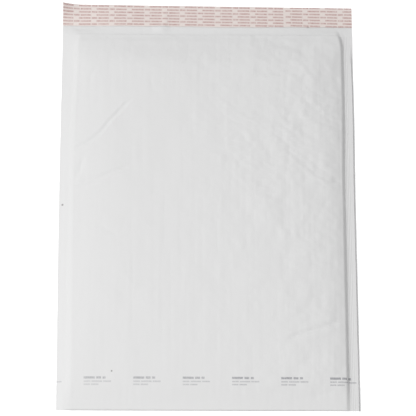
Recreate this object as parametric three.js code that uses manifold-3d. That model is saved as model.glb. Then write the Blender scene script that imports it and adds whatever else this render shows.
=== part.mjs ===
// A padded mailing envelope, lying on its back with its mouth towards +Y. Millimetres, +Z up.
// The origin is on the surface that it lies on, under the middle of the whole envelope.
//
// The outer paper is one sheet: it is folded at the foot, sealed along both sides, and its back panel
// runs on past the mouth as the lip. A folded sheet of bubble film lines it. The lip carries a band of
// glue under a peel-off liner.

import * as THREE from 'three';
import { mergeVertices } from 'three/addons/utils/BufferGeometryUtils.js';
import Module from 'manifold-3d';

const wasm = await Module();
wasm.setup();

// Overall size
const WIDTH = 362; // across both side seals
const LENGTH = 508; // from the foot fold to the lip's free edge
const LIP = 38; // the lip's reach beyond the mouth

// Sheets and the spaces between them
const PAPER = 0.3; // the outer paper
const LINING = 3.5; // one layer of bubble film
const CLEARANCE = 0.2; // between two pieces that touch
const RIM = 0.4; // thickness at a layer's thin edges, and the pocket's gap beside the seals
const POCKET_GAP = 6; // the pocket's gap in the middle

// Side seals, shoulders and foot
const SEAL = 11.5; // width of a side seal
const SHOULDER = 8.5; // width over which the padding swells up from the seal
const SHOULDER_LEAN = 0.8; // under 1, the swell is steepest near the seal
const SEAL_DROOP = 2.6; // how far a seal's outer edge hangs below its inner edge
const FOLD_INSIDE = 1; // radius inside the lining's fold at the foot
const CORNER_INSET = 6; // how far the seal widens inwards at the mouth
const CORNER_RUN = 14; // length over which it does

// Closing strip on the lip
const BARE_LIP = 9; // paper left bare between the mouth and the liner
const LINER_SETBACK = 0.5; // from the liner to the lip's free edge
const LINER_SHEET = 0.15;
const LINER_TAPER = 3.3; // how much narrower the liner is at its right end
const LINER_TAPER_START = 45; // where along X it starts to narrow
const GLUE_MARGIN = 4; // from the glue to each long edge of the liner
const GLUE_SHEET = 0.2;
const CORNER_CURL = 7.5; // how far the lip's free left corner is bent up

// Divisions of the curved surfaces
const FLANGE_STEPS = 2;
const SHOULDER_STEPS = 6;
const PANEL_STEPS = 10;
const FOLD_STEPS = 5;
const LENGTH_STEPS = 7;
const CORNER_STEPS = 4;
const BARE_STEPS = 2;
const GLUE_STEPS = 4;
const CROWN_POWER = 6; // the higher, the flatter the middle of the padded panel

// Places that follow from the sizes
const HALF_WIDTH = WIDTH / 2;
const FOOT = -LENGTH / 2;
const LIP_END = LENGTH / 2;
const MOUTH = LIP_END - LIP;
const LINING_INSET = PAPER + CLEARANCE;
const POCKET_INSET = LINING_INSET + LINING;
const SEAM_HEIGHT = POCKET_INSET + RIM / 2; // half of the padding's thickness beside a seal
const FOLD = POCKET_INSET + FOLD_INSIDE; // how far the foot's round runs in from the fold
const CROWN = POCKET_GAP - RIM; // rise of the front panel above its shoulders
const LINER_FAR = LIP_END - LINER_SETBACK;
const LINER_NEAR = MOUTH + BARE_LIP;
const GLUE_FAR = LINER_FAR - GLUE_MARGIN;
const GLUE_NEAR = LINER_NEAR + GLUE_MARGIN;
const GLUE_HEIGHT = PAPER + CLEARANCE; // above the lip's underside
const LINER_HEIGHT = GLUE_HEIGHT + GLUE_SHEET + CLEARANCE;
const HIGHEST = 2 * SEAM_HEIGHT + CROWN + CORNER_CURL; // above everything

const clamp = (t) => Math.min(Math.max(t, 0), 1);
const ease = (t) => (1 - Math.cos(Math.PI * clamp(t))) / 2;
const easeInverse = (f) => Math.acos(1 - 2 * clamp(f)) / Math.PI;
const steps = (count, from = 0) => Array.from({ length: count + 1 - from }, (_, i) => (i + from) / count);
const between = (near, far, count, from = 0) => steps(count, from).map((t) => near + (far - near) * t);

// Distance from the middle to the seal's inner edge. The seal widens at the mouth.
function seamAt(y) {
  const near = clamp((y - (MOUTH - CORNER_RUN)) / CORNER_RUN);
  return HALF_WIDTH - SEAL - CORNER_INSET * near * near;
}

// Half of the thickness beside a seal, for the layer that lies `inset` inside the paper's outer face.
function sideHalf(x, y, inset) {
  const inwards = (seamAt(y) - Math.abs(x)) / SHOULDER;
  return PAPER + (SEAM_HEIGHT - PAPER) * ease(clamp(inwards) ** SHOULDER_LEAN) - inset;
}

// Half of the thickness near the foot, round as an ellipse that keeps each layer's own thickness.
function footHalf(y, inset) {
  const back = clamp((FOOT + FOLD - y) / (FOLD - inset));
  return RIM / 2 + (SEAM_HEIGHT - inset - RIM / 2) * Math.sqrt(1 - back * back);
}

const half = (x, y, inset) => Math.min(sideHalf(x, y, inset), footHalf(y, inset));

// Height of the middle surface between both panels. The seals hang a little.
function middle(x, y) {
  const outwards = clamp((Math.abs(x) - seamAt(y)) / (HALF_WIDTH - seamAt(y)));
  return SEAM_HEIGHT - SEAL_DROOP * outwards * outwards;
}

// How far the front panel stands above its shoulders, over the pocket.
function crown(x, y) {
  const outwards = clamp(Math.abs(x) / (seamAt(y) - SHOULDER));
  const down = clamp((MOUTH - y) / (MOUTH - FOOT - FOLD));
  return CROWN * (1 - outwards ** CROWN_POWER) * (1 - down ** CROWN_POWER);
}

// Lower and upper face of the layer that lies `inset` inside the paper's outer face.
const bottom = (x, y, inset) => middle(x, y) - half(x, y, inset);
const top = (x, y, inset) => middle(x, y) + half(x, y, inset) + crown(x, y);

// The bend of the lip's free left corner.
function curl(x, y) {
  const inner = seamAt(MOUTH) - SHOULDER;
  const out = clamp((-x - inner) / (HALF_WIDTH - inner));
  return CORNER_CURL * out * out * clamp((y - MOUTH) / LIP) ** 2;
}

// Underside of the back panel. Past the mouth it settles on the ground as the lip.
function underside(x, y) {
  const settled = ease((y - MOUTH) / LIP);
  return bottom(x, Math.min(y, MOUTH), 0) * (1 - settled) + curl(x, y);
}

// Where a layer's edge lies beside the seal: there it is as thin as the rim.
function edgeInwards(inset) {
  const rise = (inset + RIM / 2 - PAPER) / (SEAM_HEIGHT - PAPER);
  return SHOULDER * easeInverse(rise) ** (1 / SHOULDER_LEAN);
}

// Stations across one row, from the left edge to the right, for the whole paper or for an inner layer.
function across(y, inset) {
  const seam = seamAt(y);
  const inner = seam - SHOULDER;
  const edge = inset > 0 ? edgeInwards(inset) : 0;
  const shoulder = between(0, SHOULDER, SHOULDER_STEPS, 1)
    .filter((inwards) => inwards > edge)
    .map((inwards) => seam - inwards);
  const start = inset > 0 ? [seam - edge] : between(HALF_WIDTH, seam, FLANGE_STEPS);
  const right = [...start, ...shoulder];
  const panel = between(-Math.PI / 2, Math.PI / 2, PANEL_STEPS, 1)
    .slice(0, -1)
    .map((angle) => inner * Math.sin(angle));
  return [...right.map((x) => -x), ...panel, ...right.reverse()];
}

// Rows from the foot to the mouth, for the layer that lies `inset` inside. They are closest at the foot.
function rowsOfBody(inset) {
  const start = FOOT + FOLD;
  const end = MOUTH - CORNER_RUN;
  const round = between(0, Math.PI / 2, FOLD_STEPS).map((angle) => start - (FOLD - inset) * Math.cos(angle));
  const straight = between(0, Math.PI / 2, LENGTH_STEPS, 1).map(
    (angle) => end - (end - start) * Math.cos(angle),
  );
  return [...round, ...straight, ...between(end, MOUTH, CORNER_STEPS, 1)];
}

// Rows along the lip. The strips on it share them, so that they lie on it all over.
const rowsOfGlue = between(GLUE_NEAR, GLUE_FAR, GLUE_STEPS);
const rowsOfLiner = [LINER_NEAR, ...rowsOfGlue, LINER_FAR];
const rowsOfLip = [...between(MOUTH, LINER_NEAR, BARE_STEPS), ...rowsOfGlue, LINER_FAR, LIP_END];

const grid = (rows, inset) => rows.map((y) => across(y, inset).map((x) => [x, y]));

// Cuts the squares of a divided box's underside along the same diagonal as those of its upper side, so
// that a thin sheet keeps its thickness where it twists.
function matchDiagonals(geometry) {
  const { start, count } = geometry.groups.at(-1);
  const { index } = geometry;
  for (let n = start; n < start + count; n += 6) {
    index.setX(n + 2, index.getX(n + 4));
    index.setX(n + 3, index.getX(n));
  }
}

// A closed slab between two surfaces, from a box whose faces are divided at the stations of each row.
function slab(stations, low, high) {
  const columns = stations[0].length - 1;
  const rows = stations.length - 1;
  const geometry = new THREE.BoxGeometry(columns, rows, 1, columns, rows, 1);
  matchDiagonals(geometry);
  const position = geometry.attributes.position;
  for (let n = 0; n < position.count; n += 1) {
    const column = Math.round(position.getX(n) + columns / 2);
    const row = Math.round(position.getY(n) + rows / 2);
    const [x, y] = stations[row][column];
    position.setXYZ(n, x, y, position.getZ(n) > 0 ? high(x, y) : low(x, y));
  }
  geometry.deleteAttribute('normal');
  geometry.deleteAttribute('uv');
  return mergeVertices(geometry);
}

// A slab that fills everything from one layer's lower face to its upper face.
function layer(inset) {
  return slab(
    grid(rowsOfBody(inset), inset),
    (x, y) => bottom(x, y, inset),
    (x, y) => top(x, y, inset),
  );
}

function solid(geometry) {
  const vertProperties = new Float32Array(geometry.attributes.position.array);
  const triVerts = new Uint32Array(geometry.index.array);
  return new wasm.Manifold(new wasm.Mesh({ numProp: 3, vertProperties, triVerts }));
}

function geometryOf(manifold) {
  const { vertProperties, triVerts } = manifold.getMesh();
  const geometry = new THREE.BufferGeometry();
  geometry.setAttribute('position', new THREE.BufferAttribute(vertProperties, 3));
  geometry.setIndex(new THREE.BufferAttribute(triVerts, 1));
  return geometry;
}

// The outer paper: the whole envelope, less what would stand on the lip, less its inside.
function outerPaper() {
  const whole = slab(
    grid([...rowsOfBody(0), ...rowsOfLip.slice(1)], 0),
    underside,
    (x, y) => (y <= MOUTH ? top(x, y, 0) : HIGHEST),
  );
  const overLip = slab(
    grid(rowsOfLip, 0),
    (x, y) => underside(x, y) + PAPER,
    () => 2 * HIGHEST,
  );
  return solid(whole).subtract(solid(overLip)).subtract(solid(layer(PAPER)));
}

// The lining: both of its padded layers and the fold between them, less the pocket.
const bubbleLining = () => solid(layer(LINING_INSET)).subtract(solid(layer(POCKET_INSET)));

// A strip across the lip, `height` above the lip's underside.
function lipStrip(stations, height, sheet) {
  return slab(
    stations,
    (x, y) => underside(x, y) + height,
    (x, y) => underside(x, y) + height + sheet,
  );
}

const adhesiveStrip = () => lipStrip(grid(rowsOfGlue, 0), GLUE_HEIGHT, GLUE_SHEET);

// The liner narrows towards its right end, where its near edge runs off.
function releaseLiner() {
  const [nearEdge, ...others] = grid(rowsOfLiner, 0);
  const tapered = nearEdge.map(([x, y]) => {
    const along = clamp((x - LINER_TAPER_START) / (HALF_WIDTH - LINER_TAPER_START));
    return [x, y + LINER_TAPER * along];
  });
  return lipStrip([tapered, ...others], LINER_HEIGHT, LINER_SHEET);
}

const whitePaper = new THREE.MeshStandardMaterial({ color: 0xe1e2e0, roughness: 0.85, metalness: 0 });
const clearFilm = new THREE.MeshStandardMaterial({ color: 0xe9edf0, roughness: 0.35, metalness: 0 });
const hotMelt = new THREE.MeshStandardMaterial({ color: 0xe8dfc2, roughness: 0.45, metalness: 0 });
const printedLiner = new THREE.MeshStandardMaterial({ color: 0xecdfda, roughness: 0.55, metalness: 0 });

function piece(name, geometry, material) {
  const mesh = new THREE.Mesh(geometry, material);
  mesh.name = name;
  return mesh;
}

const envelope = new THREE.Group();
envelope.add(
  piece('outer_paper', geometryOf(outerPaper()), whitePaper),
  piece('bubble_lining', geometryOf(bubbleLining()), clearFilm),
  piece('adhesive_strip', adhesiveStrip(), hotMelt),
  piece('release_liner', releaseLiner(), printedLiner),
);

export default envelope;
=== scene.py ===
# The looks of a white padded envelope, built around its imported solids.
# Metres, +Z up: the envelope lies on its back with its mouth and its lip towards +Y.

import math
from functools import partial

import bpy
import numpy as np
from mathutils import Matrix, Vector


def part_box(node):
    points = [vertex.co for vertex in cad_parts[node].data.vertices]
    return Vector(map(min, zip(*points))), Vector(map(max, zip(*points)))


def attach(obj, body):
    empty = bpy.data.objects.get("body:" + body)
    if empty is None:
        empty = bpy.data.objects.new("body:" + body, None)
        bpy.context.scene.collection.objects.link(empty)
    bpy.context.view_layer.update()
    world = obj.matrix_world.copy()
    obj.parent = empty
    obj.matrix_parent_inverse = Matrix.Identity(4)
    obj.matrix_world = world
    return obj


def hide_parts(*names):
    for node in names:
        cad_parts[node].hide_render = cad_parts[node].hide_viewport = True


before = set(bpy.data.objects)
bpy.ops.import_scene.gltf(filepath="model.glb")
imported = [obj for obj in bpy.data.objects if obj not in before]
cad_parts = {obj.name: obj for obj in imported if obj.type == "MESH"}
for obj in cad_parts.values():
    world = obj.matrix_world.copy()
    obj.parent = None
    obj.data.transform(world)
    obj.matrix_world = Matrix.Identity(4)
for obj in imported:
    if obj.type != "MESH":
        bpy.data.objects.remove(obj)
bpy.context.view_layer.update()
paper_low, paper_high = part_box("outer_paper")

MM = 0.001

# Overall size, from the solids
HALF_WIDTH = (paper_high.x - paper_low.x) / 2
FOOT = paper_low.y
LIP_END = paper_high.y

# Sheets and the spaces between them, as the solids have them
LIP = 38 * MM
PAPER = 0.3 * MM
LINING = 3.5 * MM
CLEARANCE = 0.2 * MM
RIM = 0.4 * MM
POCKET_GAP = 6 * MM
FOLD_INSIDE = 1 * MM
CROWN_POWER = 6

# The side seals and the shoulders beside them, as the photograph shows them
SEAL = 12.3 * MM
SHOULDER = 8.5 * MM
RIGHT_SHOULDER = 6.2 * MM
SHOULDER_LEAN = 0.8
CORNER_INSET = 4 * MM
CORNER_RUN = 18 * MM

# Closing strip on the lip
BARE_LIP = 9 * MM
LINER_SETBACK = 0.5 * MM
LINER_SHEET = 0.15 * MM
LINER_TAPER = 3.3 * MM
LINER_TAPER_START = 45 * MM
GLUE_MARGIN = 4 * MM
GLUE_SHEET = 0.2 * MM
LINER_EDGE_WAVE = 0.35 * MM
GLUE_EDGE_WAVE = 0.5 * MM
CORNER_CURL = 7.5 * MM

# How the side seals hang: the left one slopes away, the right one stays up and is nipped near its edge.
# The nip starts and ends at a share of the seal's width
LEFT_SEAL_DROP = 3.3 * MM
RIGHT_SEAL_SINK = 1.9 * MM
RIGHT_SEAL_DROP = 0.2 * MM
RIGHT_EDGE_DROP = 1.75 * MM
RIGHT_EDGE_NIP = (0.79, 0.91)
RIGHT_EDGE_TOP = 205 * MM
SEAL_GAP = 0.01 * MM
FILM_GAP = 2 * SEAL_GAP

# The front panel rolls down towards the right seal, least at the foot
RIGHT_ROLL = 0.36
RIGHT_ROLL_RUN = 22 * MM
RIGHT_ROLL_LEAST = 0.55
RIGHT_ROLL_MORE = 0.45
RIGHT_ROLL_START = -150 * MM
RIGHT_ROLL_GROWTH = 300 * MM

# The side edges aren't quite straight. The right shoulder lies further out near the mouth, and the left
# one lower down
LEFT_BOW = 0.9 * MM
RIGHT_BOW = 0.75 * MM
RIGHT_BOW_MIDDLE = 110 * MM
RIGHT_BOW_REACH = 110 * MM
BOW_RUN = 20 * MM
STEP_SHIFT = 1.7 * MM
STEP_CORNER_SHIFT = 1.3 * MM
STEP_AT = 166 * MM
STEP_RUN = 9 * MM
STEP_START = 20 * MM
STEP_GROWTH = 110 * MM
LEFT_STEP_SHIFT = 3.2 * MM
LEFT_STEP_AT = 168 * MM
LEFT_STEP_RUN = 10 * MM
LEFT_STEP_EDGE = 8 * MM
LEFT_STEP_START = 170 * MM
LEFT_STEP_GROWTH = 90 * MM

# The front panel's mouth edge lies a little askew, higher on the right, and sinks towards the lip
MOUTH_SKEW = 2.3 * MM
MOUTH_SETBACK = 2.9 * MM
MOUTH_SKEW_RUN = 70 * MM
MOUTH_SKEW_START = -70 * MM
MOUTH_SKEW_SPAN = 200 * MM
MOUTH_SINK_RUN = 45 * MM
MOUTH_SQUEEZE = 0.48
MOUTH_LIFT = 1.2 * MM

# Its last few millimetres are pinched closed
MOUTH_PINCH = 0.34
MOUTH_PINCH_RUN = 11 * MM

# The padding is thinner beside the foot fold
FOOT_SQUEEZE = 0.35
FOOT_SQUEEZE_RUN = 34 * MM

# The lip stands a little off the ground, and rises evenly to the seals at both ends
LIP_LIFT = 5.2 * MM
LIP_END_LIFT = 1.2 * MM
LIP_SIDE_RUN = 90 * MM
LIP_BLEND = 9 * MM
LIP_WAVE = 0.35 * MM
LIP_WAVE_SIZE = 40 * MM

# Two buckles in the lip: height, middle and half widths, in millimetres
LIP_BUCKLES = (
    (1.7, (-60, 223), (7, 5)),
    (0.9, (-54, 233), (4.5, 14)),
)

# Bubble film
BUBBLE_PITCH = 10.8 * MM
BUBBLE_WIDTH = 9.6 * MM
BUBBLE_TURN = math.radians(-37)
BUBBLE_SIDES = 8
BUBBLE_RINGS = 3
BUBBLE_SHALLOWEST = 1.0 * MM
BUBBLE_TOP_SHARE = 0.55
BUBBLE_NARROWING = 2.4
BUBBLE_ROUNDING = 0.75
BUBBLE_STEEPEST = 0.3
SLOPE_STEP = 0.5 * MM
LATTICE_SPARE = 1.6
FILM = 0.12 * MM

# Where a bubble must stay clear of the paper: shares of its half width, and of its depth there
BUBBLE_CLEAR = ((BUBBLE_TOP_SHARE, 1.0), (0.85, 0.8), (1.0, 0.55))

# Places that follow from the sizes
MOUTH = LIP_END - LIP
LINING_INSET = PAPER + CLEARANCE
POCKET_INSET = LINING_INSET + LINING
SEAM_HEIGHT = POCKET_INSET + RIM / 2
FOLD = POCKET_INSET + FOLD_INSIDE
CROWN = POCKET_GAP - RIM
LINER_FAR = LIP_END - LINER_SETBACK
LINER_NEAR = MOUTH + BARE_LIP
GLUE_FAR = LINER_FAR - GLUE_MARGIN
GLUE_NEAR = LINER_NEAR + GLUE_MARGIN
GLUE_HEIGHT = PAPER + CLEARANCE
LINER_HEIGHT = GLUE_HEIGHT + GLUE_SHEET + CLEARANCE
RELIEF_SIDE_RUN = 1.2 * SHOULDER
RELIEF_FOOT_RUN = 3 * FOLD

# The foot fold is squarer than round
FOLD_SQUARENESS = 0.56

# How finely the sheets are divided: the front panel most where its sharpest creases are
FLANGE_SHARES = (1.0, 0.91, 0.87, 0.83, 0.79, 0.6, 0.3, 0.0)
SHOULDER_STEPS = 7
CREASED_ACROSS = (-172 * MM, -86 * MM)
CREASED_ALONG = (18 * MM, 140 * MM)
CREASED_STEP = 1.5 * MM
SMOOTH_STEP = 2.62 * MM
FOLD_STEPS = 12
BACK_STEPS = 30
LIP_STEPS = 16
FILM_PANEL_STEPS = 30
FILM_LENGTH_STEPS = 44
STRIP_STEPS = 190
LINER_ROWS = 18
GLUE_ROWS = 10
SHARP_ANGLE = math.radians(40)

# Creases in the front panel: depth and half width, then the points along each, all in millimetres
CREASES = (
    (1.45, 1.9, (
        (-90.5, 130.5), (-102.5, 120.5), (-121.0, 100.1), (-133.0, 84.2), (-145.2, 74.3), (-184.0, 52.0),
    )),
    (0.75, 2.6, ((-152.0, 56.4), (-156.6, 36.5), (-166.6, 13.1))),
    (1.25, 2.6, ((-168.6, 16.6), (-147.2, 23.6), (-132.8, 27.6), (-118.4, 34.5), (-94.0, 41.5))),
    (2.10, 2.7, ((88.7, -172.1), (106.6, -164.2), (130.5, -156.2), (158.3, -147.8))),
    (0.55, 3.4, ((20.2, 52.4), (37.1, 63.3), (61.4, 74.3))),
    (0.70, 3.0, ((126.5, -32.1), (135.4, -13.2), (145.9, 4.7))),
    (0.70, 3.0, ((133.9, 18.1), (146.4, 21.6), (158.3, 28.6))),
    (0.40, 2.4, ((142.4, 174.6), (154.7, 162.8), (161.0, 148.8))),
    (0.40, 2.4, ((149.6, 175.8), (161.0, 162.9))),
    (0.20, 2.4, ((95.2, 65.3), (105.3, 54.9), (119.5, 44.4), (131.6, 36.1))),
    (0.40, 2.4, ((-148.2, 151.0), (-143.4, 161.5), (-137.4, 170.7))),
    (0.35, 2.2, ((-74.0, 158.6), (-70.2, 146.9), (-66.4, 135.2))),
    (0.40, 2.4, ((-138.5, -27.1), (-125.1, -35.7), (-108.0, -44.3))),
)

# A crease has raised shoulders, given as shares of its depth and width, and fades out at both ends
CREASE_SHOULDER = 0.3
CREASE_SHOULDER_WIDTH = 2.4
CREASE_END = 0.16

# The bubbles press through the front panel most at the upper right
PRESS_HEIGHT = 0.62 * MM
PRESS_WARP = 6.5 * MM
PRESS_WARP_SIZE = 19 * MM
PRESS_PATCH_SIZE = 34 * MM
PRESS_START = -50 * MM
PRESS_GROWTH = 170 * MM
PRESS_MIDDLE = 80 * MM
PRESS_REACH = 150 * MM
PRESS_LEAST = 0.2
PRESS_RIGHT = 0.95
PRESS_LOW_SHARE = 0.36
PRESS_UP_SHARE = 0.64

# Slow waves of the front panel, and the wrinkles among its pressed bubbles: height and size in
# millimetres, and seed
PANEL_WAVES = ((0.45, 62, 3), (0.24, 24, 5))
WRINKLES = ((0.5, 7.5, 43), (0.75, 13, 47))
NOISE_CELLS = 128

# Camera, placed as the photograph was taken
CAMERA_AT = Vector((-0.1032, -0.4957, 1.9902))
CAMERA_AIM = Vector((-0.0006, -0.0063, 0))
CAMERA_ROLL = math.radians(-0.172)
LENS = 145.64
SENSOR = 36


def clamp(t):
    return np.clip(t, 0.0, 1.0)


def ease(t):
    return (1 - np.cos(np.pi * clamp(t))) / 2


def ease_inverse(share):
    return math.acos(1 - 2 * min(max(share, 0), 1)) / math.pi


def soft_noise(x, y, size, seed):
    """Smooth random heights from -1 to 1, with bumps about `size` across."""
    table = np.random.default_rng(seed).uniform(-1, 1, (NOISE_CELLS, NOISE_CELLS))
    u = x / size + NOISE_CELLS / 2
    v = y / size + NOISE_CELLS / 2
    column = np.floor(u).astype(int)
    row = np.floor(v).astype(int)
    s = u - column
    t = v - row
    s = s * s * (3 - 2 * s)
    t = t * t * (3 - 2 * t)
    sides = []
    for beside in (column % NOISE_CELLS, (column + 1) % NOISE_CELLS):
        low = table[row % NOISE_CELLS, beside]
        high = table[(row + 1) % NOISE_CELLS, beside]
        sides.append(low * (1 - t) + high * t)
    return sides[0] * (1 - s) + sides[1] * s


def along_path(x, y, points):
    """Distance from a path in metres, and how far along it the nearest point is, from 0 to 1."""
    corners = np.array(points) * MM
    lengths = np.linalg.norm(np.diff(corners, axis=0), axis=1)
    reached = 0.0
    nearest = np.full(np.shape(x), np.inf)
    share = np.zeros(np.shape(x))
    for start, end, length in zip(corners[:-1], corners[1:], lengths):
        step = end - start
        t = clamp(((x - start[0]) * step[0] + (y - start[1]) * step[1]) / length**2)
        away = np.hypot(x - start[0] - t * step[0], y - start[1] - t * step[1])
        closer = away < nearest
        share = np.where(closer, (reached + t * length) / lengths.sum(), share)
        nearest = np.where(closer, away, nearest)
        reached += length
    return nearest, share


def pressed_bubbles(x, y):
    """Low domes over the bubbles' lattice, from 0 between them to 1 at their tops."""
    px = x + PRESS_WARP * soft_noise(x, y, PRESS_WARP_SIZE, seed=31)
    py = y + PRESS_WARP * soft_noise(x, y, PRESS_WARP_SIZE, seed=37)
    column = (px * math.cos(BUBBLE_TURN) + py * math.sin(BUBBLE_TURN)) / BUBBLE_PITCH
    row = (py * math.cos(BUBBLE_TURN) - px * math.sin(BUBBLE_TURN)) / BUBBLE_PITCH / math.sqrt(3)
    squares = []
    for shift in (0.5, 0.0):
        across_share = (column + shift) % 1 - 0.5
        along_share = (row + shift) % 1 - 0.5
        squares.append(across_share**2 + 3 * along_share**2)
    return clamp(1 - 4 * np.minimum(*squares))


def press_strength(x, y):
    """How far the bubbles show through the front panel: most at the right, above the middle."""
    right = clamp((x - PRESS_START) / PRESS_GROWTH)
    up = np.exp(-(((y - PRESS_MIDDLE) / PRESS_REACH) ** 2))
    patches = 0.8 + 0.5 * soft_noise(x, y, PRESS_PATCH_SIZE, seed=41)
    strength = PRESS_LEAST + PRESS_RIGHT * right * (PRESS_LOW_SHARE + PRESS_UP_SHARE * up)
    return clamp(strength) * clamp(patches)


def panel_relief(x, y):
    """Creases, pressed bubbles, wrinkles and slow waves of the front panel and the padding under it."""
    height = sum(tall * MM * soft_noise(x, y, size * MM, seed) for tall, size, seed in PANEL_WAVES)
    strength = press_strength(x, y)
    height = height + PRESS_HEIGHT * strength * pressed_bubbles(x, y)
    for tall, size, seed in WRINKLES:
        height = height + tall * MM * strength * soft_noise(x, y, size * MM, seed)
    for depth, width, points in CREASES:
        away, share = along_path(x, y, points)
        ends = ease(np.minimum(share, 1 - share) / CREASE_END)
        valley = np.exp(-((away / (width * MM)) ** 2))
        shoulders = np.exp(-((away / (CREASE_SHOULDER_WIDTH * width * MM)) ** 2))
        height = height - depth * MM * ends * (valley - CREASE_SHOULDER * shoulders)
    inside = clamp((HALF_WIDTH - SEAL - np.abs(x)) / RELIEF_SIDE_RUN)
    above_foot = clamp((y - FOOT - FOLD) / RELIEF_FOOT_RUN)
    return height * inside * above_foot


def lip_relief(x, y):
    """Slow waves of the lip, the buckles in it, and the bend of its free left corner."""
    along = clamp((y - MOUTH) / LIP)
    height = LIP_WAVE * (1 + soft_noise(x, y, LIP_WAVE_SIZE, seed=11)) * along
    for tall, (middle_x, middle_y), (wide, deep) in LIP_BUCKLES:
        across_it = ((x - middle_x * MM) / (wide * MM)) ** 2
        along_it = ((y - middle_y * MM) / (deep * MM)) ** 2
        height = height + tall * MM * np.exp(-across_it - along_it)
    inner = HALF_WIDTH - SEAL - CORNER_INSET - SHOULDER
    out = clamp((-x - inner) / (HALF_WIDTH - inner))
    return height + CORNER_CURL * out**2 * along**2


def seam_at(y):
    """Distance from the middle to the seal's inner edge. The seal widens at the mouth."""
    near = clamp((y - (MOUTH - CORNER_RUN)) / CORNER_RUN)
    return HALF_WIDTH - SEAL - CORNER_INSET * near**2


def near_mouth(y):
    return ease((y - MOUTH + MOUTH_SINK_RUN) / MOUTH_SINK_RUN)


def near_foot(y):
    return ease((FOOT + FOLD + FOOT_SQUEEZE_RUN - y) / FOOT_SQUEEZE_RUN)


def past_mouth(y):
    """1 up to the mouth, then down to 0 at the liner."""
    return clamp(1 - (y - MOUTH) / BARE_LIP)


def mouth_shift(x, y):
    """How far a point near the mouth lies from its place in the solids, along the envelope."""
    rise = clamp((x - MOUTH_SKEW_START) / MOUTH_SKEW_SPAN)
    near = clamp(1 + (y - MOUTH) / MOUTH_SKEW_RUN) * past_mouth(y)
    return (MOUTH_SKEW * rise - MOUTH_SETBACK) * near**2


def side_shift(x, y):
    """How far a point near a side edge lies from its place in the solids, across the envelope."""
    left = clamp(1 - (x + HALF_WIDTH) / BOW_RUN) ** 2 * clamp(1 - (y / FOOT) ** 2) ** 2
    near = clamp(1 - ((y - RIGHT_BOW_MIDDLE) / RIGHT_BOW_REACH) ** 2) ** 2
    right = clamp(1 + (x - HALF_WIDTH) / BOW_RUN) ** 2 * near
    up = STEP_SHIFT * ease((y - STEP_START) / STEP_GROWTH) * past_mouth(y)
    corner = STEP_CORNER_SHIFT * clamp(1 - np.abs(y - MOUTH) / CORNER_RUN) ** 2 * past_mouth(y)
    step = (up + corner) * np.exp(-(((x - STEP_AT) / STEP_RUN) ** 2))
    lower = LEFT_STEP_SHIFT * ease((LEFT_STEP_START - y) / LEFT_STEP_GROWTH)
    lower = lower * clamp((x + HALF_WIDTH) / LEFT_STEP_EDGE)
    left_step = lower * np.exp(-(((x + LEFT_STEP_AT) / LEFT_STEP_RUN) ** 2))
    return RIGHT_BOW * right + step - LEFT_BOW * left - left_step


def shoulder_at(x):
    """Width of the shoulder beside the seal: the right one is steeper."""
    return np.where(x > 0, RIGHT_SHOULDER, SHOULDER)


def swell(x, y):
    """How far the two panels part beside a seal: 0 at the seal, 1 where the shoulder ends."""
    return ease(clamp((seam_at(y) - np.abs(x)) / shoulder_at(x)) ** SHOULDER_LEAN)


def middle(x, y):
    """Height of the middle surface between both panels."""
    out = clamp((np.abs(x) - seam_at(y)) / (HALF_WIDTH - seam_at(y)))
    nip = ease((out - RIGHT_EDGE_NIP[0]) / (RIGHT_EDGE_NIP[1] - RIGHT_EDGE_NIP[0]))
    nip = nip * clamp((RIGHT_EDGE_TOP - y) / (2 * SEAL))
    down = ease((x - seam_at(y) + RIGHT_SHOULDER) / RIGHT_SHOULDER)
    right = -RIGHT_SEAL_DROP * out - RIGHT_EDGE_DROP * nip - RIGHT_SEAL_SINK * down
    settled = MOUTH_LIFT * near_mouth(y) - (SEAM_HEIGHT - PAPER) * FOOT_SQUEEZE * near_foot(y)
    return SEAM_HEIGHT + settled * swell(x, y) + np.where(x > 0, right, -LEFT_SEAL_DROP * out)


def fullness(y):
    """The share of its thickness that the padding keeps: less at the mouth and beside the foot fold."""
    pinch = MOUTH_PINCH * ease((y - MOUTH + MOUTH_PINCH_RUN) / MOUTH_PINCH_RUN)
    return 1 - MOUTH_SQUEEZE * near_mouth(y) - FOOT_SQUEEZE * near_foot(y) - pinch


def half_thickness(x, y, inset):
    """Half of the thickness beside the seals, for the layer that lies `inset` inside the outer face."""
    return PAPER + (SEAM_HEIGHT - PAPER) * swell(x, y) * fullness(y) - inset


def crown(x, y):
    """How far the front panel stands above its shoulders, over the pocket. It sinks at the mouth."""
    outwards = clamp(np.abs(x) / (seam_at(y) - shoulder_at(x)))
    down = clamp((MOUTH - y) / (MOUTH - FOOT - FOLD))
    height = CROWN * (1 - outwards**CROWN_POWER) * (1 - down**CROWN_POWER) * (1 - near_mouth(y))
    roll = clamp((x - seam_at(y) + RIGHT_SHOULDER + RIGHT_ROLL_RUN) / RIGHT_ROLL_RUN)
    upwards = clamp((y - RIGHT_ROLL_START) / RIGHT_ROLL_GROWTH)
    rolled = RIGHT_ROLL * (RIGHT_ROLL_LEAST + RIGHT_ROLL_MORE * upwards)
    return height - rolled * roll**2 * half_thickness(x, y, 0)


def body_point(x, y, angle, inset, thinnest):
    """A point of a folded layer. The angle is 0 on the front, 180 degrees on the back."""
    half = np.maximum(half_thickness(x, y, inset), thinnest)
    lift = (crown(x, y) + panel_relief(x, y)) * (1 + np.cos(angle)) / 2
    high = math.copysign(abs(math.cos(angle)) ** FOLD_SQUARENESS, math.cos(angle))
    far = max(math.sin(angle), 0) ** FOLD_SQUARENESS
    shift = mouth_shift(x, y) - (FOLD - inset) * far
    return x, y + shift, middle(x, y) + half * high + lift


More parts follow.
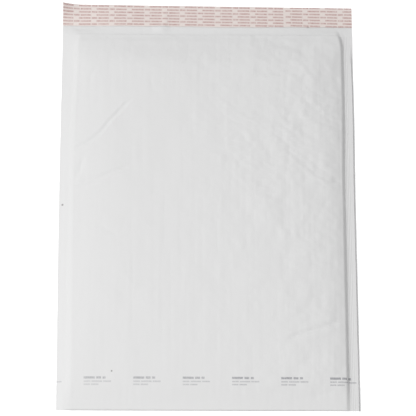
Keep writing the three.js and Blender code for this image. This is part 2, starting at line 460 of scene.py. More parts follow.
def lip_point(x, y, height):
    """A point at a height over the lip's underside, which parts from the back panel past the mouth."""
    joined = middle(x, MOUTH) - half_thickness(x, MOUTH, 0)
    ends = ease((np.abs(x) - HALF_WIDTH + LIP_SIDE_RUN) / LIP_SIDE_RUN)
    hang = np.where(x > 0, -RIGHT_SEAL_DROP - RIGHT_SEAL_SINK, -LEFT_SEAL_DROP)
    at_seal = SEAM_HEIGHT - PAPER + hang
    free = LIP_LIFT * (1 - ends) + at_seal * ends
    freed = ease((y - MOUTH) / LIP_BLEND)
    settled = ease((y - MOUTH) / LIP)
    back = joined * (1 - freed) + free * freed
    z = back * (1 - settled) + LIP_END_LIFT * settled + lip_relief(x, y) + height
    return x, y + mouth_shift(x, y), z


def side_stations(seam, shoulder, edge):
    """Stations on one side, from the edge in to where the shoulder ends."""
    flange = seam + (edge - seam) * np.array(FLANGE_SHARES) if edge > seam else np.array([edge])
    return np.concatenate([flange, np.linspace(flange[-1], seam - shoulder, SHOULDER_STEPS + 1)[1:]])


def evenly(near, far, steps):
    return np.linspace(near, far, steps + 1)


def closer_over(near, far, fine):
    """Stations from near to far, closer together over a fine stretch."""
    start, end = sorted((near, far))
    low = max(fine[0], start)
    high = fine[1]
    parts = (
        evenly(start, low, round((low - start) / SMOOTH_STEP) or 1)[:-1],
        evenly(low, high, round((high - fine[0]) / CREASED_STEP))[:-1],
        evenly(high, end, round((end - high) / SMOOTH_STEP)),
    )
    places = np.unique(np.concatenate(parts))
    return places if near < far else places[::-1]


def across(seam, edges, panel):
    """Stations from the left edge to the right. Those of the panel replace its ends by the shoulders."""
    left = side_stations(seam, SHOULDER, edges[0])
    right = side_stations(seam, RIGHT_SHOULDER, edges[1])
    return np.concatenate([-left, panel[1:-1], right[::-1]])


def paper_stations(y):
    """Stations across the paper at a place in Y. Those of every row are equally many."""
    seam = float(seam_at(y))
    inner = float(seam_at(0)) - SHOULDER
    outer = float(seam_at(0)) - RIGHT_SHOULDER
    standard = closer_over(-inner, outer, (-inner, CREASED_ACROSS[1]))
    squeeze = (2 * seam - SHOULDER - RIGHT_SHOULDER) / (inner + outer)
    centre = (RIGHT_SHOULDER - SHOULDER) / 2
    return across(seam, (HALF_WIDTH, HALF_WIDTH), (standard + centre) * squeeze - centre)


def body_rows(front, back_steps):
    """Rows of a folded layer, from the front panel's mouth round the foot to the back panel's mouth."""
    start = FOOT + FOLD
    fold = [(start, angle) for angle in np.linspace(0, math.pi, FOLD_STEPS + 1)]
    back = [(y, math.pi) for y in np.linspace(start, front[0], back_steps + 1)[1:]]
    return [(y, 0.0) for y in front[:-1]] + fold + back


def new_object(name, data):
    """An object in the scene, with the data given."""
    made = bpy.data.objects.new(name, data)
    bpy.context.scene.collection.objects.link(made)
    return made


def mesh_object(name, points, faces, material):
    mesh = bpy.data.meshes.new(name)
    mesh.from_pydata(points.tolist(), [], faces.tolist())
    mesh.update()
    mesh.shade_smooth()
    mesh.set_sharp_from_angle(angle=SHARP_ANGLE)
    mesh.materials.append(material)
    return new_object(name, mesh)


def closed_sheet(outer, inner):
    """Points and faces of a sheet with thickness, from the grids of its outer and its inner side."""
    rows, columns, _ = outer.shape
    number = np.arange(2 * rows * columns).reshape(2, rows, columns)
    out, into = number

    def quads(a, b, c, d):
        return np.stack([a.ravel(), b.ravel(), c.ravel(), d.ravel()], axis=1)

    faces = [
        quads(out[:-1, :-1], out[1:, :-1], out[1:, 1:], out[:-1, 1:]),
        quads(into[:-1, :-1], into[:-1, 1:], into[1:, 1:], into[1:, :-1]),
        quads(out[0, :-1], out[0, 1:], into[0, 1:], into[0, :-1]),
        quads(out[-1, 1:], out[-1, :-1], into[-1, :-1], into[-1, 1:]),
        quads(out[1:, 0], out[:-1, 0], into[:-1, 0], into[1:, 0]),
        quads(out[:-1, -1], out[1:, -1], into[1:, -1], into[:-1, -1]),
    ]
    points = np.concatenate([outer.reshape(-1, 3), inner.reshape(-1, 3)])
    return points, np.concatenate(faces)


def add_flat_map(piece, outer, name):
    """A UV map in metres, laid out as the sheet was cut. The inner side lies 1 m beside the outer."""
    rows, columns, _ = outer.shape
    centre = outer[:, columns // 2]
    down = np.concatenate([[0], np.cumsum(np.linalg.norm(np.diff(centre, axis=0), axis=1))])
    u = outer[:, :, 0].ravel()
    v = np.repeat(down, columns)
    flat = np.concatenate([np.stack([u, v], axis=1), np.stack([u + 1, v], axis=1)])
    mesh = piece.data
    corner = np.zeros(len(mesh.loops), dtype=np.int32)
    mesh.loops.foreach_get("vertex_index", corner)
    layer = mesh.uv_layers.new(name=name)
    layer.data.foreach_set("uv", flat[corner].ravel())


def make_outer_paper(material):
    """One sheet: front panel, foot fold, back panel and lip, sealed to itself along both sides."""
    front_rows = closer_over(MOUTH, FOOT + FOLD, CREASED_ALONG)
    rows = body_rows(front_rows, BACK_STEPS)
    outer = []
    inner = []
    for y, angle in rows:
        x = paper_stations(y)
        for side, inset in ((outer, 0.0), (inner, PAPER)):
            side.append(np.stack(body_point(x, y, angle, inset, SEAL_GAP), axis=1))
    x = paper_stations(MOUTH)
    for y in np.linspace(MOUTH, LIP_END, LIP_STEPS + 1)[1:]:
        for side, height in ((outer, 0.0), (inner, PAPER)):
            side.append(np.stack(lip_point(x, y, height), axis=1))
    outer = np.array(outer)
    inner = np.array(inner)
    for side in (outer, inner):
        side[:, :, 0] += side_shift(side[:, :, 0], side[:, :, 1])
    piece = mesh_object("outer_paper_sheet", *closed_sheet(outer, inner), material)
    add_flat_map(piece, outer, "sheet")
    return piece


def film_half(x, y):
    """Half of the pocket's gap: where the film's smooth side lies, above or below the middle surface."""
    return np.maximum(half_thickness(x, y, POCKET_INSET), FILM_GAP)


def film_edges(y):
    """How far the film reaches to the left and to the right: up to where the paper leaves it no room."""
    share = (LINING_INSET + RIM / 2 - PAPER) / (SEAM_HEIGHT - PAPER) / float(fullness(y))
    inwards = ease_inverse(share) ** (1 / SHOULDER_LEAN)
    return tuple(float(seam_at(y)) - shoulder * inwards for shoulder in (SHOULDER, RIGHT_SHOULDER))


def film_sheet():
    """Grids of the smooth film's two sides, folded at the foot, open at the mouth."""
    sides = ([], [])
    front = evenly(MOUTH - RIM, FOOT + FOLD, FILM_LENGTH_STEPS)
    for y, angle in body_rows(front, FILM_LENGTH_STEPS):
        edges = film_edges(y)
        seam = max(edges) + RIM
        x = across(seam, edges, evenly(SHOULDER - seam, seam - RIGHT_SHOULDER, FILM_PANEL_STEPS))
        for side, thicker in zip(sides, (FILM, 0.0)):
            half = film_half(x, y) + thicker
            lift = (crown(x, y) + panel_relief(x, y)) * (1 + np.cos(angle)) / 2
            z = middle(x, y) + half * np.cos(angle) + lift
            shift = mouth_shift(x, y) - (FOLD - POCKET_INSET + thicker) * np.sin(angle)
            side.append(np.stack([x + side_shift(x, y), y + shift, z], axis=1))
    return np.array(sides[0]), np.array(sides[1])


def bubble_places():
    """Where the bubbles sit on the film, which way they point and how deep they are, on both panels."""
    reach = int(LIP_END / BUBBLE_PITCH * LATTICE_SPARE)
    places = []
    turn = Matrix.Rotation(BUBBLE_TURN, 2)
    for row in range(-reach, reach + 1):
        for column in range(-reach, reach + 1):
            across_row = (column + row % 2 / 2) * BUBBLE_PITCH
            along_row = row * BUBBLE_PITCH * math.sqrt(3) / 2
            places.append(turn @ Vector((across_row, along_row)))
    places = np.array(places)
    margin = BUBBLE_WIDTH / 2
    x, y = places.T
    right_end = HALF_WIDTH - SEAL - RIGHT_SHOULDER - margin / 2
    kept = (x > SEAL - HALF_WIDTH) & (x < right_end) & (y > FOOT + FOLD + margin)
    kept = kept & (y < MOUTH - MOUTH_SETBACK - 3 * margin)
    x, y = x[kept], y[kept]
    found = []
    for side in (1, -1):

        def surface(px, py, inset, thinnest):
            px = px - side_shift(px - side_shift(px, py), py)
            py = py - mouth_shift(px, py)
            half = np.maximum(half_thickness(px, py, inset), thinnest)
            lift = (crown(px, py) + panel_relief(px, py)) * (side + 1) / 2
            return middle(px, py) + side * half + lift

        def film(px, py):
            return surface(px, py, POCKET_INSET, FILM_GAP) + side * FILM

        slope_x = (film(x + SLOPE_STEP, y) - film(x - SLOPE_STEP, y)) / (2 * SLOPE_STEP)
        slope_y = (film(x, y + SLOPE_STEP) - film(x, y - SLOPE_STEP)) / (2 * SLOPE_STEP)
        height = np.full(x.shape, LINING)
        for reach_share, height_share in BUBBLE_CLEAR:
            for turned in np.arange(0, 2 * math.pi, math.pi / 4):
                dx = reach_share * margin * math.cos(turned)
                dy = reach_share * margin * math.sin(turned)
                paper_face = surface(x + dx, y + dy, LINING_INSET, 0)
                plane = film(x, y) + slope_x * dx + slope_y * dy
                height = np.minimum(height, side * (paper_face - plane) / height_share)
        axis = side * np.stack([-slope_x, -slope_y, np.ones(x.shape)], axis=1)
        length = np.linalg.norm(axis, axis=1)
        good = (height > BUBBLE_SHALLOWEST) & (np.hypot(slope_x, slope_y) < BUBBLE_STEEPEST)
        point = np.stack([x, y, film(x, y)], axis=1)
        found.append((point[good], (axis / length[:, None])[good], (height / length)[good]))
    return tuple(np.concatenate(part) for part in zip(*found))


def link(tree, source, target):
    tree.links.new(source, target)


def feed(tree, socket, given):
    """Gives a socket another node's result, or a plain value."""
    if isinstance(given, bpy.types.NodeSocket):
        link(tree, given, socket)
    else:
        socket.default_value = given


def feed_all(tree, node, **given):
    """Feeds several inputs of a node by their names, where an underscore stands for a space."""
    for label, value in given.items():
        feed(tree, node.inputs[label.replace("_", " ")], value)


def add_node(tree, kind, **given):
    node = tree.nodes.new(kind)
    feed_all(tree, node, **given)
    return node


def value_node(tree, operation, first, second=None, clamped=False):
    """A Math node. Each of its inputs is a socket or a plain number. Returns its result."""
    node = tree.nodes.new("ShaderNodeMath")
    node.operation = operation
    node.use_clamp = clamped
    feed(tree, node.inputs[0], first)
    if second is not None:
        feed(tree, node.inputs[1], second)
    return node.outputs[0]


def chain(tree, operation, first, *others):
    """Joins several values in their order, by one Math operation."""
    total = first
    for other in others:
        total = value_node(tree, operation, total, other)
    return total


def scaled(tree, value, times, plus):
    """A value times one number, plus another."""
    return value_node(tree, "ADD", value_node(tree, "MULTIPLY", value, times), plus)


VECTOR = "Vector"
NUMBER = "Float"
GEOMETRY = (("Geometry", "Geometry"),)


def new_group(name, inputs, outputs, kind="ShaderNodeTree"):
    """An empty node group. Returns it with its given sockets and those of its result."""
    group = bpy.data.node_groups.new(name, kind)
    for way, sockets in (("OUTPUT", outputs), ("INPUT", inputs)):
        for label, holds in sockets:
            group.interface.new_socket(label, in_out=way, socket_type="NodeSocket" + holds)
    return group, add_node(group, "NodeGroupInput").outputs, add_node(group, "NodeGroupOutput").inputs


def bubbles_on_film():
    """A Geometry Nodes tree that sets a closed, rounded bubble on each loose point of the film."""
    inputs = (
        *GEOMETRY,
        ("Bubble Width", NUMBER),
        ("Sides", "Int"),
        ("Rings", "Int"),
        ("Top Share", NUMBER),
        ("Material", "Material"),
    )
    tree, entry, result = new_group("bubbles on film", inputs, GEOMETRY, "GeometryNodeTree")
    calc = partial(value_node, tree)
    add = partial(add_node, tree)

    def named(attribute, kind):
        node = add("GeometryNodeInputNamedAttribute", Name=attribute)
        node.data_type = kind
        return node.outputs["Attribute"]

    # A straight-sided bubble of height 1, rounded by narrowing each ring
    drum = add("GeometryNodeMeshCylinder", Vertices=entry["Sides"], Radius=0.5, Depth=1.0)
    drum.fill_type = "NGON"
    link(tree, entry["Rings"], drum.inputs["Side Segments"])
    point = parts_of(tree, add("GeometryNodeInputPosition").outputs[0])
    level = calc("ADD", point["Z"], 0.5)
    curve = calc("POWER", level, BUBBLE_NARROWING)
    drop = calc("SUBTRACT", 1.0, entry["Top Share"])
    narrow = calc("SUBTRACT", 1.0, calc("MULTIPLY", curve, drop))
    shape = add(
        "ShaderNodeCombineXYZ",
        X=calc("MULTIPLY", point["X"], narrow),
        Y=calc("MULTIPLY", point["Y"], narrow),
        Z=calc("POWER", level, BUBBLE_ROUNDING),
    )
    rounded = add("GeometryNodeSetPosition", Geometry=drum.outputs["Mesh"], Position=shape.outputs[0])
    smooth = add("GeometryNodeSetShadeSmooth", Geometry=rounded.outputs[0])

    # The points that have a height carry the bubbles, and the rest is the sheet
    tall = named("bubble_height", "FLOAT")
    apart = add("GeometryNodeSeparateGeometry", Geometry=entry["Geometry"], Selection=tall)
    apart.domain = "POINT"
    dots = add("GeometryNodeMeshToPoints", Mesh=apart.outputs["Selection"])
    turn = add("FunctionNodeAlignRotationToVector", Vector=named("bubble_axis", "FLOAT_VECTOR"))
    turn.axis = "Z"
    size = add("ShaderNodeCombineXYZ", X=entry["Bubble Width"], Y=entry["Bubble Width"], Z=tall)
    place = add(
        "GeometryNodeInstanceOnPoints",
        Points=dots.outputs[0],
        Instance=smooth.outputs[0],
        Rotation=turn.outputs[0],
        Scale=size.outputs[0],
    )
    real = add("GeometryNodeRealizeInstances", Geometry=place.outputs[0])
    join = add("GeometryNodeJoinGeometry", Geometry=apart.outputs["Inverted"])
    link(tree, real.outputs[0], join.inputs[0])
    finish = add("GeometryNodeSetMaterial", Geometry=join.outputs[0], Material=entry["Material"])
    link(tree, finish.outputs[0], result[0])
    return tree


def make_bubble_lining(material):
    """The smooth film and its bubbles, which stand outwards against the paper."""
    points, faces = closed_sheet(*film_sheet())
    bubbles, axes, heights = bubble_places()
    piece = mesh_object("bubble_film_layout", np.concatenate([points, bubbles]), faces, material)
    mesh = piece.data
    height = np.concatenate([np.zeros(len(points)), heights])
    axis = np.concatenate([np.zeros((len(points), 3)), axes])
    mesh.attributes.new("bubble_height", "FLOAT", "POINT").data.foreach_set("value", height)
    mesh.attributes.new("bubble_axis", "FLOAT_VECTOR", "POINT").data.foreach_set("vector", axis.ravel())

    tree = bubbles_on_film()
    modifier = piece.modifiers.new("bubbles", "NODES")
    modifier.node_group = tree
    given = {
        "Bubble Width": BUBBLE_WIDTH,
        "Sides": BUBBLE_SIDES,
        "Rings": BUBBLE_RINGS,
        "Top Share": BUBBLE_TOP_SHARE,
        "Material": material,
    }
    for socket in tree.interface.items_tree:
        if socket.in_out == "INPUT" and socket.name in given:
            modifier[socket.identifier] = given[socket.name]
    ready = piece.evaluated_get(bpy.context.evaluated_depsgraph_get())
    made = new_object("bubble_film", bpy.data.meshes.new_from_object(ready))
    made.data.name = "bubble_film"
    bpy.data.objects.remove(piece)
    return made


def strip(name, rows, near, far, height, sheet, material):
    """A strip on the lip. Near and far give its long edges' places in Y for each X."""
    x = evenly(-HALF_WIDTH, HALF_WIDTH, STRIP_STEPS)
    top = []
    under = []
    for share in np.linspace(1, 0, rows + 1):
        y = near(x) * (1 - share) + far(x) * share
        for side, thick in ((top, sheet), (under, 0.0)):
            side.append(np.stack(lip_point(x, y, height + thick), axis=1))
    return mesh_object(name, *closed_sheet(np.array(top), np.array(under)), material)


def make_release_liner(material):
    def near(x):
        taper = LINER_TAPER * clamp((x - LINER_TAPER_START) / (HALF_WIDTH - LINER_TAPER_START))
        return LINER_NEAR + taper + LINER_EDGE_WAVE * soft_noise(x, 0 * x, 21 * MM, seed=17)

    def far(x):
        return LINER_FAR + 0 * x

    return strip("release_liner_strip", LINER_ROWS, near, far, LINER_HEIGHT, LINER_SHEET, material)


def make_adhesive(material):
    def near(x):
        return GLUE_NEAR + GLUE_EDGE_WAVE * soft_noise(x, 0 * x, 9 * MM, seed=23)

    def far(x):
        return GLUE_FAR + GLUE_EDGE_WAVE * soft_noise(x, 0 * x, 8 * MM, seed=29)

    return strip("adhesive_band", GLUE_ROWS, near, far, GLUE_HEIGHT, GLUE_SHEET, material)


STREAK_STRETCH = (1.0, 0.035, 1.0)


def noise(tree, position, scale, detail=2.0):
    """A noise texture's value, less a half."""
    node = add_node(tree, "ShaderNodeTexNoise", Detail=detail, Vector=position, Scale=scale)
    return value_node(tree, "SUBTRACT", node.outputs[0], 0.5)


def paper_grain_group():
    """Fibres, and the fine streaks that run along the web that the paper was made on."""
    labels = ("Fibre Size", "Fibre Height", "Streak Width", "Streak Height", "Tone")
    inputs = [("Position", VECTOR)] + [(label, NUMBER) for label in labels]
    group, given, result = new_group("paper grain", inputs, (("Height", NUMBER), ("Shade", NUMBER)))
    calc = partial(value_node, group)
    fibre_scale = calc("DIVIDE", 1.0, given["Fibre Size"])
    fibre = noise(group, given["Position"], fibre_scale, 3.0)
    stretch = group.nodes.new("ShaderNodeVectorMath")
    stretch.operation = "MULTIPLY"
    stretch.inputs[1].default_value = STREAK_STRETCH
    link(group, given["Position"], stretch.inputs[0])
    streak_scale = calc("DIVIDE", 1.0, given["Streak Width"])
    streak = noise(group, stretch.outputs[0], streak_scale, 1.0)
    fibre_height = calc("MULTIPLY", fibre, given["Fibre Height"])
    streak_height = calc("MULTIPLY", streak, given["Streak Height"])
    link(group, calc("ADD", fibre_height, streak_height), result["Height"])
    shade = scaled(group, calc("ADD", fibre, streak), given["Tone"], 1.0)
    link(group, shade, result["Shade"])
    return group


def bubble_press_group():
    """The film's bubbles pressing through the paper: a lattice of low domes, 1 at their tops."""
    inputs = (("Position", VECTOR), ("Pitch", NUMBER), ("Turn", NUMBER))
    group, given, result = new_group("bubble press", inputs, (("Dome", NUMBER),))
    calc = partial(value_node, group)
    turned = add_node(group, "ShaderNodeVectorRotate", Vector=given["Position"], Angle=given["Turn"])
    turned.rotation_type = "Z_AXIS"
    split = parts_of(group, turned.outputs[0])
    column = calc("DIVIDE", split["X"], given["Pitch"])
    row = calc("DIVIDE", calc("DIVIDE", split["Y"], given["Pitch"]), math.sqrt(3))
    squares = []
    for shift in (0.5, 0.0):
        parts = []
        for place, weight in ((column, 1.0), (row, 3.0)):
            share = calc("FRACT", calc("ADD", place, shift))
            away = calc("SUBTRACT", share, 0.5)
            square = calc("MULTIPLY", away, away)
            parts.append(calc("MULTIPLY", square, weight))
        squares.append(calc("ADD", *parts))
    nearest = calc("MINIMUM", *squares)
    fall = calc("MULTIPLY", nearest, 4.0)
    link(group, calc("SUBTRACT", 1.0, fall, clamped=True), result["Dome"])
    return group


def printed_bar_group():
    """A soft-edged bar of ink: 1 inside it and 0 outside."""
    labels = ("Along", "Across", "Start", "End", "Line", "Height", "Softness")
    inputs = [(label, NUMBER) for label in labels]
    group, given, result = new_group("printed bar", inputs, (("Ink", NUMBER),))
    calc = partial(value_node, group)
    total = calc("ADD", given["Start"], given["End"])
    centre = calc("MULTIPLY", total, 0.5)
    length = calc("SUBTRACT", given["End"], given["Start"])
    shares = []
    for place, middle_line, size in (
        (given["Along"], centre, length),
        (given["Across"], given["Line"], given["Height"]),
    ):
        away = calc("ABSOLUTE", calc("SUBTRACT", place, middle_line))
        left = calc("SUBTRACT", calc("MULTIPLY", size, 0.5), away)
        soft = calc("DIVIDE", left, given["Softness"])
        shares.append(calc("ADD", soft, 0.5, clamped=True))
    link(group, calc("MULTIPLY", *shares), result["Ink"])
    return group


def speck_group():
    """A small dark speck at a place on the sheet: 1 inside it and 0 outside."""
    inputs = (("Position", VECTOR), ("Place", VECTOR), ("Size", NUMBER))
    group, given, result = new_group("speck", inputs, (("Dirt", NUMBER),))
    away = group.nodes.new("ShaderNodeVectorMath")
    away.operation = "DISTANCE"
    link(group, given["Position"], away.inputs[0])
    link(group, given["Place"], away.inputs[1])
    share = value_node(group, "DIVIDE", away.outputs["Value"], given["Size"])
    link(group, value_node(group, "SUBTRACT", 1.0, share, clamped=True), result["Dirt"])
    return group


def use_group(tree, group, **given):
    """Places a node group. Each given input is a socket or a plain value."""
    node = tree.nodes.new("ShaderNodeGroup")
    node.node_tree = group
    feed_all(tree, node, **given)
    return node.outputs


def new_material(name):
    """A material with its tree and its shader."""
    material = bpy.data.materials.new(name)
    material.use_nodes = True
    tree = material.node_tree
    return material, tree, tree.nodes["Principled BSDF"]


def tint(tree, colour, amount, over):
    """Mixes a plain colour over another node's colour by an amount."""
    node = tree.nodes.new("ShaderNodeMix")
    node.data_type = "RGBA"
    link(tree, amount, node.inputs["Factor"])
    link(tree, over, node.inputs["A"])
    node.inputs["B"].default_value = (*colour, 1.0)
    return node.outputs["Result"]


def shaded(tree, colour, shade):
    """A plain colour times a value that changes over the surface."""
    node = tree.nodes.new("ShaderNodeVectorMath")
    node.operation = "SCALE"
    node.inputs[0].default_value = colour
    link(tree, shade, node.inputs["Scale"])
    return node.outputs[0]


def bump(tree, shader, height):
    """Feeds a height in metres to the shader's normal."""
    node = add_node(tree, "ShaderNodeBump", Strength=1.0, Distance=1.0, Height=height)
    link(tree, node.outputs[0], shader.inputs["Normal"])


def object_position(tree):
    return tree.nodes.new("ShaderNodeTexCoord").outputs["Object"]


def parts_of(tree, vector):
    return add_node(tree, "ShaderNodeSeparateXYZ", Vector=vector).outputs


PAPER_COLOUR = (0.787, 0.787, 0.787)
PAPER_ROUGHNESS = 0.72
PAPER_GLOSS = 0.3
PATCH_SIZE = 45 * MM
BACK_MARK_HEIGHT = 0.12 * MM
INK_COLOUR = (0.24, 0.24, 0.27)
INK_EDGE = 0.7 * MM
INK_LEAST = 0.62
INK_UNEVEN = 1.1
INK_IN_MIDDLE = 0.9
INK_TO_RIGHT = 1.3
INK_GRAIN = 700.0
DIRT_COLOUR = (0.16, 0.15, 0.14)

# The print near the foot: small blocks of grey bars. Each line of a block has its distance below the
# envelope's middle, its height, its strength and its bars, in millimetres from the block's left end
BLOCK_FIRST = -148.7 * MM
BLOCK_PITCH = 58.45 * MM
BLOCK_LINES = (
    (214.5, 2.6, 1.0, ((0, 13.2), (14.8, 20.6), (22.4, 26.0))),
    (218.8, 1.6, 0.62, ((0, 8.2), (9.4, 21.8), (23.0, 32.5))),
    (222.4, 1.6, 0.62, ((0, 7.6), (8.8, 17.7))),
)
PRINT_MARGIN = 0.5 * MM

# Specks: place across and along the envelope, and size, in millimetres
SPECKS_ON_PAPER = ((-177.5, -3.2, 1.7), (-115.7, -206.7, 1.4))

# Lines rolled into the right seal, which fade out at both ends
SEAL_LINE_PITCH = 2 * MM
SEAL_LINE_HEIGHT = 0.09 * MM
SEAL_LINE_FADE = 0.8 * MM
SEAL_LINES_START = 5.6 * MM


def paper_material(grain, press, bar, speck):
    """Uncoated white paper, with marks of the padding, a small grey print and two specks."""
    material, tree, shader = new_material("white paper")
    calc = partial(value_node, tree)
    position = object_position(tree)
    sheet = tree.nodes.new("ShaderNodeUVMap")
    sheet.uv_map = "sheet"
    flat = sheet.outputs[0]
    along = parts_of(tree, flat)["X"]
    down = parts_of(tree, flat)["Y"]

    fibres = use_group(
        tree, grain, Position=position, Fibre_Size=1.6 * MM, Fibre_Height=0.02 * MM,
        Streak_Width=7 * MM, Streak_Height=0.32 * MM, Tone=0.012,
    )
    # The back panel's padding shows only as shallow marks, which its geometry leaves out
    dome = use_group(tree, press, Position=position, Pitch=BUBBLE_PITCH, Turn=-BUBBLE_TURN)["Dome"]
    on_back = calc("GREATER_THAN", down, MOUTH - FOOT + FOLD)
    pressed = chain(tree, "MULTIPLY", dome, on_back, BACK_MARK_HEIGHT)

    # Fine lines rolled into the right side seal
    from_edge = calc("SUBTRACT", HALF_WIDTH, along)
    inside = calc("SUBTRACT", from_edge, SEAL_LINES_START)
    turns = calc("MULTIPLY", inside, 2 * math.pi / SEAL_LINE_PITCH)
    wave = calc("COSINE", turns)
    low = calc("MULTIPLY", inside, 1 / SEAL_LINE_FADE, clamped=True)
    high = calc("SUBTRACT", SEAL, from_edge)
    high = calc("MULTIPLY", high, 1 / SEAL_LINE_FADE, clamped=True)
    rolled = chain(tree, "MULTIPLY", wave, low, high, SEAL_LINE_HEIGHT)
    bump(tree, shader, chain(tree, "ADD", fibres["Height"], pressed, rolled))

    # The print repeats across the sheet
    share = calc("DIVIDE", calc("SUBTRACT", along, BLOCK_FIRST), BLOCK_PITCH)
    local = calc("MULTIPLY", calc("FRACT", share), BLOCK_PITCH)
    bars = []
    for line, height, strength, words in BLOCK_LINES:
        for start, end in words:
            ink = use_group(
                tree, bar, Along=local, Across=down, Start=start * MM, End=end * MM,
                Line=MOUTH + line * MM, Height=height * MM, Softness=INK_EDGE,
            )["Ink"]
            bars.append(calc("MULTIPLY", ink, strength))
    aside = calc("ABSOLUTE", along)
    on_front = calc("LESS_THAN", aside, HALF_WIDTH - PRINT_MARGIN)
    darker = calc("MULTIPLY", on_front, scaled(tree, along, INK_TO_RIGHT, INK_IN_MIDDLE))
    ink = calc("MULTIPLY", chain(tree, "MAXIMUM", *bars), darker)
    unevenness = scaled(tree, noise(tree, position, INK_GRAIN), INK_UNEVEN, INK_LEAST)
    ink = calc("MULTIPLY", ink, unevenness, clamped=True)
    dirt = chain(tree, "MAXIMUM", *(
        use_group(tree, speck, Position=flat, Place=(x * MM, MOUTH - y * MM, 0), Size=size * MM)["Dirt"]
        for x, y, size in SPECKS_ON_PAPER
    ))
    colour = shaded(tree, PAPER_COLOUR, fibres["Shade"])
    colour = tint(tree, INK_COLOUR, ink, colour)
    colour = tint(tree, DIRT_COLOUR, dirt, colour)
    rough = scaled(tree, noise(tree, position, 1 / PATCH_SIZE), 0.1, PAPER_ROUGHNESS)
    feed_all(tree, shader, Base_Color=colour, Roughness=rough, Specular_IOR_Level=PAPER_GLOSS)
    return material


LINER_COLOUR = (0.85, 0.765, 0.73)
LINER_ROUGHNESS = 0.5
LINER_INK = (0.50, 0.275, 0.265)
LINER_INK_UNEVEN = 1.2
LINER_INK_GRAIN = 420.0
LINER_ROW_PITCH = 4.05 * MM
LINER_FIRST_ROW = 227.6 * MM
LINER_PERIOD = 44.1 * MM
LINER_PERIOD_START = -161.5 * MM
LINER_WORDS = ((0, 15.0), (16.2, 23.2), (24.4, 37.6))
LINER_SPLICE = 96 * MM
LINER_SPLICE_STEP = 1.0 * MM
LINER_SPLICE_GAP = 1.2 * MM
LINER_SPLICE_EDGE = 0.5 * MM
LINER_SPECK = (125.3 * MM, 226.7 * MM)
LINER_SPECK_SIZE = 1.9 * MM
LINER_DIRT = (0.35, 0.28, 0.28)


def liner_material(grain, bar, speck):
    """Silicone coated release paper with rows of small pink bars, and a splice where the print steps."""
    material, tree, shader = new_material("liner paper")
    calc = partial(value_node, tree)
    position = object_position(tree)
    where = parts_of(tree, position)
    fibres = use_group(
        tree, grain, Position=position, Fibre_Size=2.2 * MM, Fibre_Height=0.006 * MM,
        Streak_Width=12 * MM, Streak_Height=0.03 * MM, Tone=0.02,
    )
    bump(tree, shader, fibres["Height"])
    past = calc("GREATER_THAN", where["X"], LINER_SPLICE)
    step = calc("MULTIPLY", past, LINER_SPLICE_STEP)
    up = calc("SUBTRACT", where["Y"], step)
    rows = calc("SUBTRACT", up, LINER_FIRST_ROW)
    rows = calc("ADD", calc("DIVIDE", rows, LINER_ROW_PITCH), 0.5)
    row = calc("FLOOR", rows)
    across_row = calc("MULTIPLY", calc("FRACT", rows), LINER_ROW_PITCH)
    odd = calc("FRACT", calc("MULTIPLY", row, 0.5))
    shares = calc("SUBTRACT", where["X"], LINER_PERIOD_START)
    shares = calc("ADD", calc("DIVIDE", shares, LINER_PERIOD), odd)
    along = calc("MULTIPLY", calc("FRACT", shares), LINER_PERIOD)
    bars = [
        use_group(
            tree, bar, Along=along, Across=across_row, Start=start * MM, End=end * MM,
            Line=LINER_ROW_PITCH / 2, Height=1.9 * MM, Softness=0.9 * MM,
        )["Ink"]
        for start, end in LINER_WORDS
    ]
    seam = calc("ABSOLUTE", calc("SUBTRACT", where["X"], LINER_SPLICE))
    clear = calc("SUBTRACT", seam, LINER_SPLICE_GAP)
    clear = calc("MULTIPLY", clear, 1 / LINER_SPLICE_EDGE, clamped=True)
    ink = calc("MULTIPLY", chain(tree, "MAXIMUM", *bars), clear)
    grains = noise(tree, position, LINER_INK_GRAIN)
    unevenness = scaled(tree, grains, LINER_INK_UNEVEN, INK_LEAST)
    ink = calc("MULTIPLY", ink, unevenness, clamped=True)
    flat = add_node(tree, "ShaderNodeCombineXYZ", X=where["X"], Y=where["Y"])
    dirt = use_group(
        tree, speck, Position=flat.outputs[0], Place=(*LINER_SPECK, 0), Size=LINER_SPECK_SIZE,
    )["Dirt"]
    colour = shaded(tree, LINER_COLOUR, fibres["Shade"])
    colour = tint(tree, LINER_INK, ink, colour)
    colour = tint(tree, LINER_DIRT, dirt, colour)
    feed_all(tree, shader, Base_Color=colour, Roughness=LINER_ROUGHNESS)
    return material


FILM_COLOUR = (0.86, 0.885, 0.9)
FILM_ROUGHNESS = 0.22
FILM_ALPHA = 0.6
FILM_HAZE_SIZE = 30 * MM
FILM_RIPPLE_SIZE = 4 * MM
FILM_RIPPLE_HEIGHT = 0.05 * MM
GLUE_COLOUR = (0.76, 0.68, 0.45)
GLUE_ROUGHNESS = 0.3
GLUE_CLOUD_SIZE = 6 * MM
GLUE_CLOUD_HEIGHT = 0.06 * MM


def film_material():
    """Thin clear polythene film, slightly hazy."""
    material, tree, shader = new_material("bubble film")
    position = object_position(tree)
    haze = noise(tree, position, 1 / FILM_HAZE_SIZE)
    colour = shaded(tree, FILM_COLOUR, value_node(tree, "ADD", haze, 1.0))
    rough = scaled(tree, haze, 0.15, FILM_ROUGHNESS)
    feed_all(tree, shader, Base_Color=colour, Roughness=rough, Alpha=FILM_ALPHA)
    ripple = noise(tree, position, 1 / FILM_RIPPLE_SIZE)
    bump(tree, shader, value_node(tree, "MULTIPLY", ripple, FILM_RIPPLE_HEIGHT))
    return material


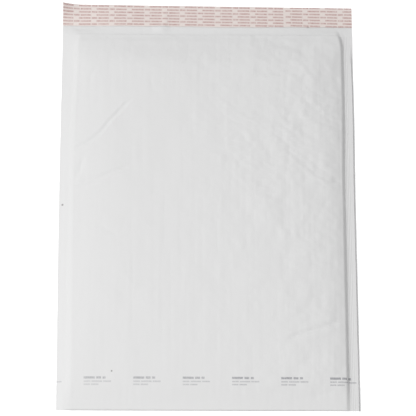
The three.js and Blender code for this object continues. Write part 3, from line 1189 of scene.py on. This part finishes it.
def glue_material():
    """Hot-melt glue: pale yellow, smooth and a little uneven."""
    material, tree, shader = new_material("hot melt")
    cloud = noise(tree, object_position(tree), 1 / GLUE_CLOUD_SIZE)
    colour = shaded(tree, GLUE_COLOUR, scaled(tree, cloud, 0.12, 1.0))
    feed_all(tree, shader, Base_Color=colour, Roughness=scaled(tree, cloud, 0.2, GLUE_ROUGHNESS))
    bump(tree, shader, value_node(tree, "MULTIPLY", cloud, GLUE_CLOUD_HEIGHT))
    return material


WHITE = (1, 1, 1, 1)
FLOOR_COLOUR = (0.7, 0.7, 0.7, 1)
FLOOR_ROUGHNESS = 0.9
FLOOR_GLOW = 0.8
FLOOR_REACH = 4.0
FLOOR_LEVEL = -0.3 * MM
ROOM_LIGHT = 0.37

# Lamps: name, energy, size, distance from the envelope's middle, and direction from there
LAMPS = (
    ("window light", 62.5, 1.7, 3.4, (-0.58, 0.05, 0.813)),
    ("foot light", 2.8, 0.6, 1.28, (-0.10, -0.40, 0.91)),
)


def make_floor():
    """A plain pale floor that stays white around the envelope, and throws little light back at it."""
    mesh = bpy.data.meshes.new("floor")
    corners = [
        (across_it * FLOOR_REACH, along_it * FLOOR_REACH, FLOOR_LEVEL)
        for across_it, along_it in ((-1, -1), (1, -1), (1, 1), (-1, 1))
    ]
    mesh.from_pydata(corners, [], [(0, 1, 2, 3)])
    floor = new_object("floor", mesh)
    material, tree, shader = new_material("pale floor")
    seen = add_node(tree, "ShaderNodeLightPath").outputs["Is Camera Ray"]
    glow = value_node(tree, "MULTIPLY", seen, FLOOR_GLOW)
    feed_all(tree, shader, Base_Color=FLOOR_COLOUR, Roughness=FLOOR_ROUGHNESS, Emission_Color=WHITE)
    feed_all(tree, shader, Emission_Strength=glow)
    mesh.materials.append(material)


def make_light():
    """Soft light all round, one large soft light from the left, and a small one above the foot."""
    scene = bpy.context.scene
    world = bpy.data.worlds.new("studio")
    world.use_nodes = True
    background = world.node_tree.nodes["Background"]
    feed_all(world.node_tree, background, Color=WHITE, Strength=ROOM_LIGHT)
    scene.world = world
    scene.view_settings.view_transform = "Standard"
    for name, energy, size, away, direction in LAMPS:
        lamp = bpy.data.lights.new(name, "AREA")
        lamp.shape = "SQUARE"
        lamp.size = size
        lamp.energy = energy
        holder = new_object(name, lamp)
        towards = Vector(direction).normalized()
        holder.location = towards * away
        holder.rotation_mode = "QUATERNION"
        holder.rotation_quaternion = towards.to_track_quat("Z", "Y")


def make_camera():
    camera = new_object("camera", bpy.data.cameras.new("camera"))
    camera.data.lens = LENS
    camera.data.sensor_width = SENSOR
    forward = (CAMERA_AIM - CAMERA_AT).normalized()
    right = forward.cross(Vector((0, 1, 0))).normalized()
    upwards = right.cross(forward)
    turn = Matrix((right, upwards, -forward)).transposed()
    turn = turn @ Matrix.Rotation(CAMERA_ROLL, 3, "Z")
    camera.matrix_world = Matrix.Translation(CAMERA_AT) @ turn.to_4x4()
    bpy.context.scene.camera = camera


def fit(piece, node):
    """Puts a finished piece in the place of its solid."""
    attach(piece, "root")
    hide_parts(node)


make_camera()
make_light()
make_floor()

grain = paper_grain_group()
press = bubble_press_group()
bar = printed_bar_group()
speck = speck_group()

paper = make_outer_paper(paper_material(grain, press, bar, speck))
lining = make_bubble_lining(film_material())
glue = make_adhesive(glue_material())
liner = make_release_liner(liner_material(grain, bar, speck))

fit(paper, "outer_paper")
fit(lining, "bubble_lining")
fit(glue, "adhesive_strip")
fit(liner, "release_liner")
